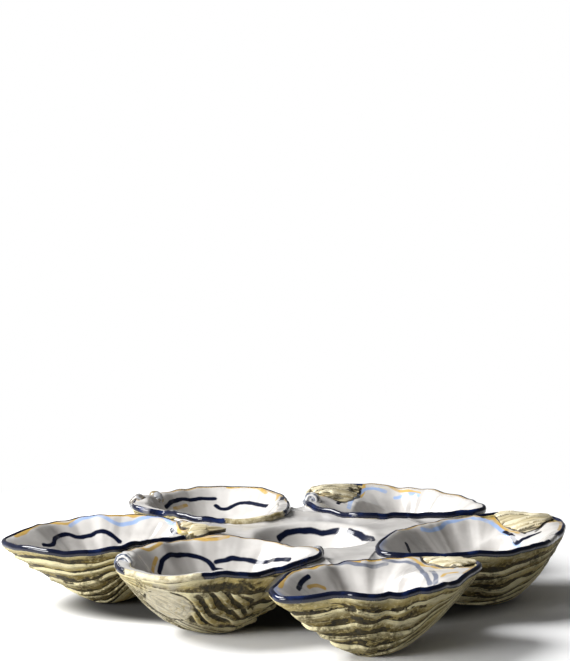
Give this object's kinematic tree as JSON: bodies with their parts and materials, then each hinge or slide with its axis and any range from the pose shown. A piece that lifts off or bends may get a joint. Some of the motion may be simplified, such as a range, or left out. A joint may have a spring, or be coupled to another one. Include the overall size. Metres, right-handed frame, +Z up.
{
  "type": "oyster plate",
  "caption": "Ceramic oyster plate: shell-shaped cups on shell feet, joined round a white centre with a sauce well, with raised cobalt rims.",
  "frame": {"origin": "middle of the plate's extent at the height of the table under the feet", "axes": "+Z up, +X along the longest extent to the right of the front view, -Y towards the front"},
  "size_m": [0.3387, 0.2999, 0.0466],
  "materials": {
    "clay": "matte",
    "white_glaze": "gloss",
    "cobalt_line": "gloss"
  },
  "bodies": {
    "root": {"left_shell": "clay", "left_lining": "white_glaze", "left_rim_line": "cobalt_line", "front_left_shell": "clay", "front_left_lining": "white_glaze", "front_left_rim_line": "cobalt_line", "front_right_shell": "clay", "front_right_lining": "white_glaze", "front_right_rim_line": "cobalt_line", "right_shell": "clay", "right_lining": "white_glaze", "right_rim_line": "cobalt_line", "back_right_shell": "clay", "back_right_lining": "white_glaze", "back_right_rim_line": "cobalt_line", "back_left_shell": "clay", "back_left_lining": "white_glaze", "back_left_rim_line": "cobalt_line", "hinge_leaves": "clay", "centre_dish": "white_glaze", "slip_bridges": "white_glaze"}
  },
  "joints": []
}
